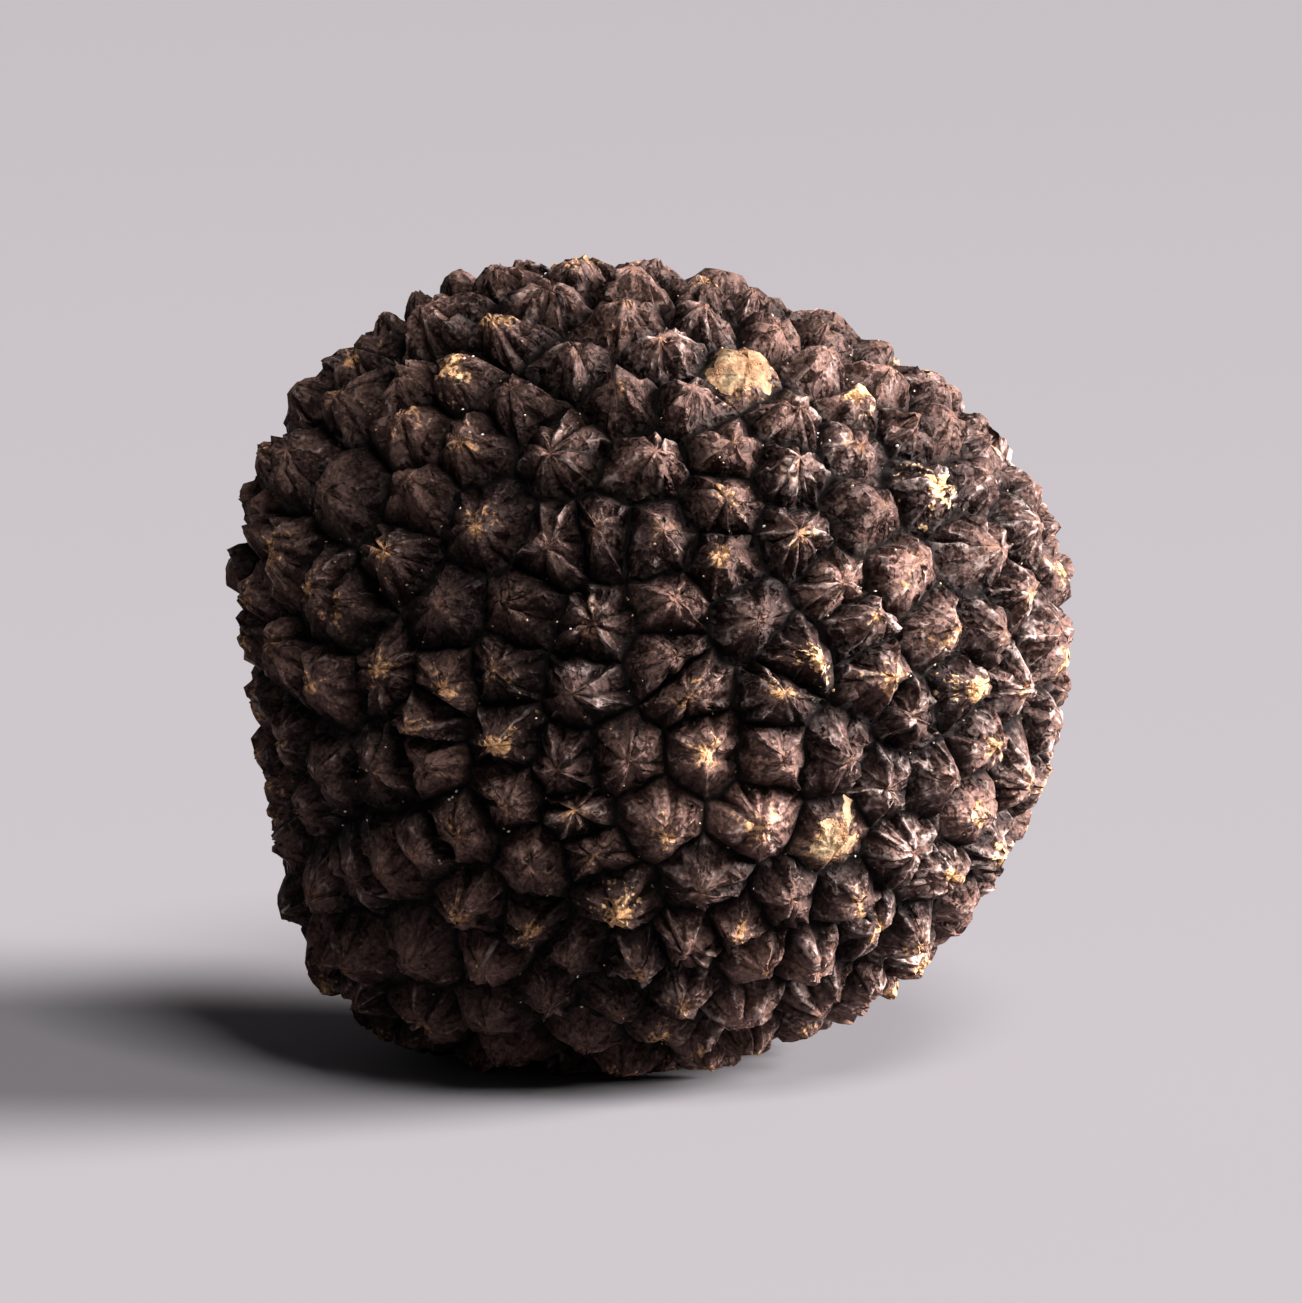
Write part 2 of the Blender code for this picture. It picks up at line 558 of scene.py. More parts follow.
@dataclass
class WartMesher:
    """Covers each foot of the net with rings of points that close in on the wart's tip."""

    net: WartNet
    spacing: float = 0.38 * MM  # between points along a border
    border_wave: float = 0.20 * MM  # how far a border strays from a straight line
    wave_length: float = 1.3 * MM
    ring_shares: Sequence[float] = (0.05, 0.13, 0.26, 0.44, 0.64, 0.85)  # of the way to the tip
    full_rings: int = 4  # how many of those rings keep every spoke
    roundness: float = 0.15
    wander: float = 0.10 * MM  # how far a ring's point strays
    apothem: float = 0.88  # a foot's middle to its side, as a share of its mean reach
    tip_splits: dict[WartState, float] = field(
        default_factory=lambda: {WartState.CLEFT: 0.75, WartState.DIMPLED: 0.50}
    )
    ribs: tuple[int, int] = (5, 9)  # fewest and most on a wart
    rib_bend: float = 0.30  # how unevenly the ribs are spread
    rib_rise: Span = (0.15, 0.55)
    groove_fall: float = 2.2
    corner_rise: Span = (0.4, 0.8)
    cleft_strength: Span = (0.7, 1.0)
    habit: WartHabit = WartHabit()
    scars: Sequence[Triple] = ((0.17, -0.45, 0.88), (0.50, -0.82, -0.285))
    rubbed: Sequence[Triple] = (
        (0.48, -0.46, 0.75),
        (0.72, -0.45, 0.52),
        (0.37, -0.88, 0.29),
        (-0.47, -0.88, 0.02),
        (-0.12, -0.85, -0.52),
        (-0.42, -0.43, 0.80),
        (0.79, -0.61, 0.03),
        (-0.80, 0.55, 0.25),
        (0.25, 0.90, 0.35),
        (0.55, 0.75, -0.35),
    )

    def build(self) -> FineMesh:
        """Makes the whole rind, flat on the ball.

        Returns:
            The mesh with its marks.
        """
        fine = FineMesh()
        plain = {"inset": 0.0, "share": 0.0, "flute": 0.0, "cleft": 0.0}
        plain |= {"bulk": 1.0, "blunt": 1.0, "bulge": 1.8, "lift": 0.0}
        for point in self.net.points:
            fine.add_place(point.copy(), **plain)
        borders: dict[tuple[int, int], list[int]] = {}
        broken, rubbed = self.feet_at(self.scars), self.feet_at(self.rubbed)
        for foot in self.net.feet:
            ring = self.border_ring(fine, foot, borders, plain)
            plan = self.habit.draw(foot.number, self.net.seed, foot.number in broken, foot.number in rubbed)
            self.cover(fine, foot, ring, plan)
        return fine

    def feet_at(self, ways: Sequence[Triple]) -> set[int]:
        """Finds the warts nearest to some directions.

        Args:
            ways: The directions.

        Returns:
            The warts' numbers.
        """
        found = set()
        for triple in ways:
            way = Vector(triple).normalized()
            nearest = max(self.net.feet, key=lambda foot: self.middle(foot).normalized().dot(way))
            found.add(nearest.number)
        return found

    def middle(self, foot: WartFoot) -> Vector:
        """The mean of a foot's corners."""
        return sum((self.net.points[corner] for corner in foot.corners), Vector()) / len(foot.corners)

    def border_ring(
        self,
        fine: FineMesh,
        foot: WartFoot,
        borders: dict[tuple[int, int], list[int]],
        plain: dict[str, float],
    ) -> list[int]:
        """Divides a foot's sides, sharing the points with the neighbours.

        Args:
            fine: The mesh that gets the points.
            foot: The foot.
            borders: The sides divided so far, by their two corners.
            plain: The marks of a point at the bottom of a furrow.

        Returns:
            The vertex numbers round the foot, anticlockwise, with corners at even places.
        """
        ring = []
        for start, end in zip(foot.corners, foot.corners[1:] + foot.corners[:1]):
            key = (min(start, end), max(start, end))
            if key not in borders:
                low, high = (self.net.points[corner] for corner in key)
                span = high - low
                pairs = max(1, round(span.length / self.spacing / 2))
                sideways = span.cross(low + high).normalized()
                inner = []
                for step in range(1, 2 * pairs):
                    share = step / (2 * pairs)
                    place = low + span * share
                    wave = noise.noise(place / self.wave_length) * self.border_wave * 2
                    place += sideways * wave * math.sin(math.pi * share)
                    inner.append(fine.add_place(self.net.ball.point(place), **plain))
                borders[key] = inner
            inner = borders[key]
            ring += [start, *(inner if start < end else reversed(inner))]
        return ring

    def cover(self, fine: FineMesh, foot: WartFoot, ring: list[int], plan: WartPlan) -> None:
        """Adds one wart's rings, tip and triangles.

        Args:
            fine: The mesh that gets them.
            foot: The wart's foot.
            ring: The vertex numbers round the foot.
            plan: The wart's character.
        """
        chance = random.Random(self.net.seed * 5000 + foot.number)
        middle = self.middle(foot)
        out = middle.normalized()
        east = out.orthogonal().normalized()
        north = out.cross(east)
        reach = sum((self.net.points[corner] - middle).length for corner in foot.corners) / len(foot.corners)
        tip = self.net.ball.point(middle + (east * plan.lean_east + north * plan.lean_north) * reach)
        spokes = self.spokes(fine, foot, ring, plan, tip, east, north, chance)
        mean_reach = sum((fine.places[spoke.border] - tip).length for spoke in spokes) / len(spokes)
        apothem = self.apothem * mean_reach
        whole = {"bulk": plan.bulk, "blunt": plan.blunt, "bulge": plan.bulge}

        def lift(place: Vector) -> float:
            """Height that a wart's stature and tilt add at a place."""
            off = place - middle
            return plan.stature + off.dot(east) * plan.tilt_east + off.dot(north) * plan.tilt_north

        def ring_place(spoke: Spoke, share: float, rounding: float) -> Vector:
            """A point on a spoke.

            Args:
                spoke: The spoke.
                share: How far along the way to the tip.
                rounding: 0 at the border, 1 where the ring may be rounded and stray.

            Returns:
                The point on the ball.
            """
            ray = fine.places[spoke.border] - tip
            length = ray.length * (1 - share)
            rounded = mean_reach * (1 - share)
            length = min(length, length + (rounded - length) * rounding * self.roundness)
            stray = east * chance.uniform(-1, 1) + north * chance.uniform(-1, 1)
            return self.net.ball.point(tip + ray.normalized() * length + stray * self.wander * rounding)

        outer = [(spoke, spoke.border) for spoke in spokes]
        for level, share in enumerate(self.ring_shares):
            kept = spokes if level < self.full_rings else spokes[::2]
            inner = []
            for spoke in kept:
                place = ring_place(spoke, share, min(1.0, 3 * share) ** 2)
                marks = {"inset": share * apothem, "share": share, "flute": spoke.flute}
                marks |= {"cleft": spoke.cleft, "lift": lift(place)} | whole
                inner.append((spoke, fine.add_place(place, **marks)))
            self.band(fine, outer, inner, foot.number, plan)
            outer = inner
        split = self.tip_splits.get(plan.state, 0.0)
        marks = {"inset": apothem, "share": 1.0, "flute": 0.0, "cleft": split, "lift": lift(tip)} | whole
        top = fine.add_place(tip, **marks)
        for (first, low), (second, high) in zip(outer, outer[1:] + outer[:1]):
            turn = self.between(first.angle, second.angle)
            self.triangle(fine, (low, high, top), (first.angle, second.angle, turn), foot.number, plan)

    def spokes(
        self,
        fine: FineMesh,
        foot: WartFoot,
        ring: list[int],
        plan: WartPlan,
        tip: Vector,
        east: Vector,
        north: Vector,
        chance: random.Random,
    ) -> list[Spoke]:
        """Draws the flutes and clefts of one wart's spokes.

        Args:
            fine: The mesh that holds the border.
            foot: The wart's foot.
            ring: The vertex numbers round the foot.
            plan: The wart's character.
            tip: The wart's tip on the ball.
            east: One direction along the ball.
            north: The other one.
            chance: The wart's own random numbers.

        Returns:
            One spoke for each border point.
        """
        corners = set(foot.corners)
        ribs = chance.randint(*self.ribs)
        phase, twist = chance.uniform(0, math.tau), chance.uniform(0, math.tau)
        spokes = []
        for border in ring:
            ray = fine.places[border] - tip
            turn = math.atan2(ray.dot(north), ray.dot(east))
            swing = (turn + self.rib_bend * math.sin(2 * turn + twist)) * ribs + phase
            groove = (1 - abs(math.sin(swing / 2))) ** 2
            flute = chance.uniform(*self.rib_rise) - self.groove_fall * groove
            if border in corners:
                flute = max(flute, 0.0) + chance.uniform(*self.corner_rise)
            spokes.append(Spoke(border, turn, flute * plan.fluting, 0.0))
        if plan.state in (WartState.CLEFT, WartState.NOTCHED):
            start = 2 * chance.randrange(len(ring) // 2)
            across = 2 * round((start + len(ring) / 2 + chance.uniform(-3, 3)) / 2)
            ends = [start, across] if plan.state is WartState.CLEFT else [start]
            for end in ends:
                spokes[end % len(ring)].cleft = chance.uniform(*self.cleft_strength)
        return spokes

    @staticmethod
    def between(first: float, second: float) -> float:
        """The angle halfway from one angle to the next, the short way round."""
        turn = (second - first + math.pi) % (2 * math.pi) - math.pi
        return first + turn / 2

    def band(
        self,
        fine: FineMesh,
        outer: list[tuple[Spoke, int]],
        inner: list[tuple[Spoke, int]],
        number: int,
        plan: WartPlan,
    ) -> None:
        """Fills the strip between two rings, the inner of which has as many points or half as many.

        Args:
            fine: The mesh that gets the triangles.
            outer: The outer ring.
            inner: The inner ring.
            number: The wart's number.
            plan: The wart's character.
        """
        size = len(outer)
        halved = len(inner) < size
        for index in range(0, size, 2 if halved else 1):
            near, ahead = outer[index], outer[(index + 1) % size]
            if halved:
                far = outer[(index + 2) % size]
                low, high = inner[index // 2], inner[(index // 2 + 1) % len(inner)]
                corners = ((near, ahead, low), (ahead, high, low), (ahead, far, high))
            else:
                low, high = inner[index], inner[(index + 1) % size]
                corners = ((near, ahead, low), (ahead, high, low))
            for three in corners:
                places = tuple(place for _, place in three)
                angles = tuple(spoke.angle for spoke, _ in three)
                self.triangle(fine, places, angles, number, plan)

    @staticmethod
    def triangle(
        fine: FineMesh,
        places: tuple[int, int, int],
        angles: tuple[float, float, float],
        number: int,
        plan: WartPlan,
    ) -> None:
        """Adds one triangle with the wart's spoke and tone at each corner.

        Args:
            fine: The mesh that gets it.
            places: The numbers of its vertices.
            angles: Its corners' angles round the wart.
            number: The wart's number.
            plan: The wart's character.
        """
        fine.triangles.append(places)
        for angle in angles:
            fine.spokes.append((math.cos(angle), math.sin(angle), float(number)))
            fine.tones.append(plan.tone)


# ---------------------------------------------------------------------------------------------
# Geometry Nodes trees
# ---------------------------------------------------------------------------------------------


class GeometryTree:
    """A Geometry Nodes tree with named inputs, and its use on an object."""

    def __init__(self, name: str) -> None:
        """Makes an empty tree that takes and gives geometry.

        Args:
            name: The tree's name.
        """
        self.group = bpy.data.node_groups.new(name, "GeometryNodeTree")
        self.group.interface.new_socket("Geometry", in_out="INPUT", socket_type="NodeSocketGeometry")
        self.group.interface.new_socket("Geometry", in_out="OUTPUT", socket_type="NodeSocketGeometry")
        self.bench = Bench(self.group)
        self.source = self.group.nodes.new("NodeGroupInput")
        self.identifiers: dict[str, str] = {}
        self.values: dict[str, Any] = {}

    def number(self, name: str, value: float, kind: str = "NodeSocketFloat") -> Wire:
        """Adds a named input.

        Args:
            name: The input's name.
            value: What the modifier sets it to.
            kind: The socket's type.

        Returns:
            The input as a wire.
        """
        socket = self.group.interface.new_socket(name, in_out="INPUT", socket_type=kind)
        self.identifiers[name] = socket.identifier
        self.values[name] = value
        return Wire(self.bench, self.source.outputs[name])

    def mark(self, name: str) -> Wire:
        """A number that the mesh carries at each vertex."""
        node = self.bench.node("GeometryNodeInputNamedAttribute", {"data_type": "FLOAT"}, {"Name": name})
        return Wire(self.bench, node.outputs["Attribute"])

    def position(self) -> Arrow:
        """Where each vertex is."""
        return Arrow(self.bench, self.bench.node("GeometryNodeInputPosition", {}, {}).outputs[0])

    def finish(self, geometry: bpy.types.NodeSocket) -> None:
        """Ends the tree in Realize Instances and Set Material.

        Args:
            geometry: The socket whose geometry is the result.
        """
        material = self.group.interface.new_socket("Finish", in_out="INPUT", socket_type="NodeSocketMaterial")
        self.identifiers["Finish"] = material.identifier
        real = self.bench.node("GeometryNodeRealizeInstances", {}, {"Geometry": geometry})
        dressed = self.bench.node(
            "GeometryNodeSetMaterial",
            {},
            {"Geometry": real.outputs[0], "Material": self.source.outputs["Finish"]},
        )
        self.bench.node("NodeGroupOutput", {}, {0: dressed.outputs[0]})

    def run(self, start: bpy.types.Object, name: str, finish: bpy.types.Material) -> bpy.types.Object:
        """Runs the tree on an object and keeps the result as a plain mesh.

        Args:
            start: The object that goes in. It is removed.
            name: The name of the object that comes out.
            finish: The material that the tree sets.

        Returns:
            A new object with a plain mesh.
        """
        modifier = start.modifiers.new(self.group.name, "NODES")
        modifier.node_group = self.group
        self.values["Finish"] = finish
        for title, value in self.values.items():
            modifier[self.identifiers[title]] = value
        graph = bpy.context.evaluated_depsgraph_get()
        mesh = bpy.data.meshes.new_from_object(start.evaluated_get(graph), depsgraph=graph)
        start.modifiers.remove(modifier)
        bpy.data.objects.remove(start)
        mesh.name = name
        made = bpy.data.objects.new(name, mesh)
        bpy.context.scene.collection.objects.link(made)
        return made


@dataclass
class WartRelief:
    """Raises the flat fine mesh into warts and sets the truffle down on its resting spot."""

    furrow_depth: float = 1.10 * MM
    tip_height: float = 0.85 * MM
    crown: float = 0.58  # share of a wart's height that rises as a straight pyramid
    highest: float = 0.95 * MM  # above the mean level, where even the tallest tips are worn off
    flute_depth: float = 0.30 * MM
    cleft_depth: float = 0.48 * MM
    lump_height: float = 0.30 * MM
    lumps_a_metre: float = 620.0
    swell_height: float = 1.1 * MM
    swells_a_metre: float = 95.0
    chip_slope: float = 0.46
    chips_a_metre: float = 640.0
    resting_height: float = 23.4 * MM
    opening: float = 5.0  # 1 over the share of the way to the tip at which flutes and lumps are in full
    flank_gain: float = 1.05
    edge_softness: float = 0.25  # of a worn top's edge, as a share of the tip height
    flute_fade: float = 0.85  # how much of a flute's depth is gone at the tip
    furrow_swell: float = 1.4  # how much the furrows' depth follows the swells
    broken_blunt: Span = (0.62, 0.74)  # bluntness at which lumps and chips go from none to full
    tip_softness: float = 0.6 * MM

    def tree(self) -> GeometryTree:
        """Builds the tree.

        Returns:
            The tree, with its sizes as named inputs.
        """
        tree = GeometryTree("wart_relief")
        bench = tree.bench
        furrow = tree.number("Furrow Depth", self.furrow_depth)
        tip_height = tree.number("Tip Height", self.tip_height)
        crown = tree.number("Crown", self.crown)
        highest = tree.number("Highest", self.highest)
        flute_depth = tree.number("Flute Depth", self.flute_depth)
        cleft_depth = tree.number("Cleft Depth", self.cleft_depth)
        lump_height = tree.number("Lump Height", self.lump_height)
        swell_height = tree.number("Swell Height", self.swell_height)
        chip_slope = tree.number("Chip Slope", self.chip_slope)
        resting = tree.number("Resting Height", self.resting_height)

        place = tree.position()
        share = tree.mark("share")
        open_side = (share * self.opening).at_most(1.0)
        flank = (1.0 - (1.0 - share) ** tree.mark("bulge")) * (1.0 - crown) + share * crown
        blunt = tree.mark("blunt")
        dome = bench.math("SMOOTH_MIN", flank * self.flank_gain, blunt, self.edge_softness)
        flute = tree.mark("flute") * flute_depth * (1.0 - share * share * self.flute_fade)
        cleft = tree.mark("cleft") * cleft_depth
        lump = (bench.noise(place, self.lumps_a_metre, 1.0) - 0.5) * lump_height
        chip = bench.chips(place, self.chips_a_metre)[0] * chip_slope
        swell = bench.noise(place, self.swells_a_metre, 1.0) - 0.5
        depth = furrow * (1.0 + swell * self.furrow_swell)
        body = dome * (depth + tip_height * tree.mark("bulk")) - depth
        unbroken = blunt.step(*self.broken_blunt)
        wart = body + (tree.mark("lift") + flute + (lump + chip) * unbroken - cleft) * open_side
        height = bench.math("SMOOTH_MIN", wart, highest, self.tip_softness) + swell * swell_height
        raised = bench.node(
            "GeometryNodeSetPosition",
            {},
            {"Geometry": tree.source.outputs[0], "Offset": place.unit() * height},
        )
        box = bench.node("GeometryNodeBoundBox", {}, {"Geometry": raised.outputs[0]})
        middle = (Arrow(bench, box.outputs["Min"]) + Arrow(bench, box.outputs["Max"])) * 0.5
        across, along, _ = middle.parts()
        x, y, z = (tree.position() - bench.join(across, along, 0.0)).parts()
        seated = bench.node(
            "GeometryNodeSetPosition",
            {},
            {"Geometry": raised.outputs[0], "Position": bench.join(x, y, (z + resting).at_least(0.0))},
        )
        shading = {"Geometry": seated.outputs[0], "Shade Smooth": True}
        smooth = bench.node("GeometryNodeSetShadeSmooth", {}, shading)
        tree.finish(smooth.outputs[0])
        return tree


@dataclass
class SoilGrains:
    """Grains of soil and sand that stick to the rind, most of them down in the furrows."""

    grains_a_square_metre: float = 3.0e5
    furrow_reach: float = 0.9 * MM  # how far from a furrow's bottom most grains lie
    smallest: float = 0.030 * MM
    largest: float = 0.125 * MM
    clear_of_table: float = 2.5 * MM
    seed: int = 4
    turn_seed: int = 9
    patches_a_metre: float = 160.0
    patch_edge: Span = (0.42, 0.68)
    crowding: float = 0.85  # how much rarer the grains are on the warts than in the furrows
    strays: float = 0.15  # share of the usual number that lies outside the patches

    def tree(self) -> GeometryTree:
        """Builds the tree.

        Returns:
            The tree, with its sizes as named inputs.
        """
        tree = GeometryTree("soil_grains")
        bench = tree.bench
        density = tree.number("Grains A Square Metre", self.grains_a_square_metre)
        reach = tree.number("Furrow Reach", self.furrow_reach)
        smallest = tree.number("Smallest", self.smallest)
        largest = tree.number("Largest", self.largest)
        table = tree.number("Clear Of Table", self.clear_of_table)
        seed = tree.number("Seed", self.seed, "NodeSocketInt")

        inset = tree.mark("inset")
        height = tree.position().parts()[2]
        patch = bench.noise(tree.position(), self.patches_a_metre, 1.0).step(*self.patch_edge)
        crowd = (1.0 - (inset / reach).at_most(1.0) * self.crowding) * (self.strays + patch)
        scattered = bench.node(
            "GeometryNodeDistributePointsOnFaces",
            {"distribute_method": "RANDOM"},
            {
                "Mesh": tree.source.outputs[0],
                "Selection": bench.math("GREATER_THAN", height, table),
                "Density": density * crowd,
                "Seed": seed,
            },
        )
        grain = bench.node("GeometryNodeMeshIcoSphere", {}, {"Radius": 1.0, "Subdivisions": 1})
        low = bench.join(smallest, smallest, smallest)
        high = bench.join(largest, largest, largest)
        vectors = {"data_type": "FLOAT_VECTOR"}
        size = bench.node("FunctionNodeRandomValue", vectors, {0: low, 1: high, "Seed": seed})
        full_turns = (math.tau, math.tau, math.tau)
        turn = bench.node("FunctionNodeRandomValue", vectors, {1: full_turns, "Seed": self.turn_seed})
        placed = bench.node(
            "GeometryNodeInstanceOnPoints",
            {},
            {
                "Points": scattered.outputs["Points"],
                "Instance": grain.outputs["Mesh"],
                "Scale": size.outputs[0],
                "Rotation": turn.outputs[0],
            },
        )
        tree.finish(placed.outputs[0])
        return tree


# ---------------------------------------------------------------------------------------------
# Finishes
# ---------------------------------------------------------------------------------------------


@dataclass(frozen=True)
class RindGrain:
    """How fine the rind's patterns are and how far each one stands out."""

    folds_a_metre: float = 560.0
    mottles_a_metre: float = 900.0
    grains_a_metre: float = 3600.0
    patches_a_metre: float = 75.0
    chips_a_metre: float = 1250.0
    crumbs_a_metre: float = 4800.0
    furrow_edge: float = 0.34 * MM  # from a furrow's bottom to where a face is open
    arm_height: float = 0.06 * MM
    crease_height: float = 0.11 * MM
    flute_height: float = 0.22 * MM
    mottle_height: float = 0.14 * MM
    grain_height: float = 0.10 * MM
    groove_depth: float = 0.14 * MM
    pit_depth: float = 0.12 * MM
    chip_slope: float = 0.75
    crumb_slope: float = 0.50


class RindReading:
    """What the mesh and the noises say at a point of the rind, as wires of a shader tree."""

    def __init__(self, bench: Bench, size: RindGrain) -> None:
        """Adds the nodes that read the mesh and make the patterns.

        Args:
            bench: The tree that gets them.
            size: How fine the patterns are.
        """
        self.bench = bench
        place = Arrow(bench, bench.node("ShaderNodeTexCoord", {}, {}).outputs["Object"])
        self.share = self.mark("share")
        self.rise = ((self.share - 0.3) / 0.7).at_least(0.0)
        self.flute = self.mark("flute")
        self.open_face = self.mark("inset").step(0.0, size.furrow_edge)
        self.brownness, self.wear, self.lightness = self.marks("tone")
        self.chip, self.chip_tone = bench.chips(place, size.chips_a_metre)
        self.crumb, self.crumb_tone = bench.chips(place, size.crumbs_a_metre)
        self.fold = bench.noise(place, size.folds_a_metre, 2.0, 0.5)
        self.mottle = bench.noise(place, size.mottles_a_metre, 2.0, 0.6)
        self.grain = bench.noise(place, size.grains_a_metre, 2.0, 0.6)
        self.patch = bench.noise(place, size.patches_a_metre, 2.0, 0.5)
        across, inwards, self.upwards = place.parts()
        # Painted light: 1 on the side towards the right-hand lamp and the front, 0 on the far side, with a
        # ragged edge
        self.painted_lit_side = (across * 27.0 - inwards * 14.0 + (self.patch - 0.5) * 1.4).step(0.15, 0.75)
        self.read_lines()
        self.read_scars()

    def read_lines(self) -> None:
        """Arms run from the tip to the border, grooves run between them, and creases run anywhere."""
        cosine, sine, number = self.marks("spoke")
        wander = (self.fold - 0.5) * 0.9
        fan = self.bench.join(
            cosine * 1.05 + wander,
            sine * 1.05 - wander,
            number * 7.3 + self.rise * 0.6,
        )
        self.streak = self.bench.noise(fan, 1.0, 1.0, 0.5)
        ribbed = (1.25 - self.brownness) * (1.0 - self.rise * 0.65)
        self.arm = self.line(self.streak, 0.50, 10.0) * ribbed
        self.crease = self.line(self.fold, 0.50, 13.0)
        self.groove = self.line(self.streak, 0.60, 12.0) * self.mottle.step(0.38, 0.54)
        self.groove = self.groove * (1.0 - self.rise * 0.6)
        # Where the pale ridge colour goes: partly paler crests, partly painted sheen; it spreads further on
        # the side towards the right-hand lamp
        ridge_and_sheen = self.arm * 0.28 + self.crease * 0.44 + self.flute.step(0.20, 0.80) * 0.50
        ridge_and_sheen = ridge_and_sheen + (self.mottle - 0.5) * 1.3 + self.lightness * 0.15
        self.ridge_and_sheen = (ridge_and_sheen + self.painted_lit_side * 0.14).step(0.52, 1.12) * self.open_face

    def read_scars(self) -> None:
        """A scar is where a broken wart shows its flesh, and pits are the dark holes in it."""
        torn = (self.share + (self.fold - 0.5) * 1.9 + (self.mottle - 0.5) * 0.6).step(0.36, 0.42)
        self.scar = torn * self.wear.step(1.5, 1.9)
        self.pit = ((1.0 - self.fold) * 1.1 + self.grain * 0.6 - self.share * 0.2).step(0.74, 0.90)

    @staticmethod
    def line(pattern: Wire, level: float, sharpness: float) -> Wire:
        """A thin line, 1 in its middle, where a pattern crosses a level."""
        return (1.0 - (pattern - level).size() * sharpness).at_least(0.0)

    def mark(self, name: str) -> Wire:
        """A number that the mesh carries."""
        return Wire(self.bench, self.attribute(name).outputs["Fac"])

    def marks(self, name: str) -> tuple[Wire, Wire, Wire]:
        """Three numbers that the mesh carries."""
        return Arrow(self.bench, self.attribute(name).outputs["Vector"]).parts()

    def attribute(self, name: str) -> bpy.types.Node:
        """An Attribute node on the mesh."""
        return self.bench.node("ShaderNodeAttribute", {"attribute_name": name}, {})


@dataclass(frozen=True)
class RindFinish:
    """Dark rind: near-black painted shade in the furrows, grooves and flute valleys, purple-brown facets,
    pale ridges that are partly painted sheen, tan tips and cream scars.
    """

    name: str = "rind"
    # near-black painted shade, laid in the furrows, grooves and flute valleys
    furrow: Colour = (0.0045, 0.0028, 0.0024)
    facet: Colour = (0.0250, 0.0134, 0.0120)
    warm_facet: Colour = (0.084, 0.045, 0.036)
    brown_top: Colour = (0.158, 0.096, 0.080)
    # pale crests, partly painted sheen where light catches them
    ridge_and_sheen: Colour = (0.350, 0.272, 0.250)
    rust: Colour = (0.240, 0.105, 0.055)
    tan: Colour = (0.480, 0.260, 0.120)
    straw: Colour = (0.600, 0.390, 0.210)
    cream: Colour = (0.390, 0.270, 0.160)
    size: RindGrain = RindGrain()

    def material(self) -> bpy.types.Material:
        """Builds the material.

        Returns:
            The material.
        """
        material = bpy.data.materials.new(self.name)
        material.use_nodes = True
        material.node_tree.nodes.clear()
        bench = Bench(material.node_tree)
        rind = RindReading(bench, self.size)
        colour = self.worn_skin(rind, self.skin(rind))
        colour = bench.blend(rind.scar, colour * self.shade(rind), self.flesh(rind))
        height = {"Strength": 1.0, "Distance": 1.0, "Height": self.height(rind)}
        bump = bench.node("ShaderNodeBump", {}, height)
        shader = bench.node(
            "ShaderNodeBsdfPrincipled",
            {},
            {
                "Base Color": colour,
                "Roughness": self.roughness(rind),
                "Normal": Arrow(bench, bump.outputs[0]),
                "IOR": 1.40,
                "Specular IOR Level": 0.14,
                "Specular Tint": (1.0, 0.90, 0.88, 1.0),
            },
        )
        bench.node("ShaderNodeOutputMaterial", {}, {"Surface": shader.outputs[0]})
        return material

    def skin(self, rind: RindReading) -> Arrow:
        """The whole skin's colour: darker facets, browner towards the tips, with pale ridges that are partly
        painted sheen, laid on more strongly on the painted lit side.

        Args:
            rind: What the mesh and the noises say.

        Returns:
            The colour.
        """
        blend = rind.bench.blend
        mottle = rind.mottle - 0.5
        warmth = (rind.brownness * 0.5 + rind.patch * 1.2 + (rind.grain - 0.5) * 0.8).step(0.60, 1.30)
        upper = (rind.share + mottle * 0.7 + (rind.patch - 0.5) * 0.8).step(0.18, 0.80)
        colour = blend(warmth, self.facet, self.warm_facet)
        colour = blend(upper * 0.34, colour, self.brown_top)
        colour = blend(self.top(rind) * 0.20, colour, self.rust)
        # pale ridge colour, partly painted sheen, laid on more strongly on the side towards the right-hand
        # lamp
        return blend(rind.ridge_and_sheen * (0.44 + rind.painted_lit_side * 0.16), colour, self.ridge_and_sheen)

    def worn_skin(self, rind: RindReading, colour: Arrow) -> Arrow:
        """Lays worn and rubbed tips and tan specks over the skin, and painted shade in the grooves, flute
        valleys and furrows.

        Args:
            rind: What the mesh and the noises say.
            colour: The skin's colour.

        Returns:
            The colour with them.
        """
        blend = rind.bench.blend
        rise, wear = rind.rise, rind.wear
        mottle, grain, patch = rind.mottle - 0.5, rind.grain - 0.5, rind.patch - 0.5
        peak = (rise + mottle * 2.2 + grain * 1.4).step(0.60, 1.05)
        worn = peak * (wear * 1.1 + patch * 1.2 + mottle * 0.8).step(0.56, 1.00)
        bare = (rise * 0.8 + mottle * 2.4 + grain * 0.9).step(0.40, 0.60) * wear.step(1.05, 1.20)
        speck = rind.crumb_tone * 0.5 + rind.patch * 0.5 + wear * 0.25 + rise * 0.45
        speck = speck.step(1.20, 1.30) * rind.open_face
        colour = blend(worn * 0.75, colour, self.tan)
        # Painted shade: the grooves and the flute valleys take the near-black furrow colour
        colour = blend(rind.groove * 0.75, colour, self.furrow)
        colour = blend(rind.flute.step(-0.10, -1.10) * 0.75, colour, self.furrow)
        colour = blend(bare * 0.85, colour, blend(rind.grain.step(0.45, 0.70), self.tan, self.straw))
        # Painted shade: the bottoms of the furrows take the near-black furrow colour
        colour = blend(1.0 - rind.open_face, colour, self.furrow)
        return blend(speck * 0.6, colour, self.tan)

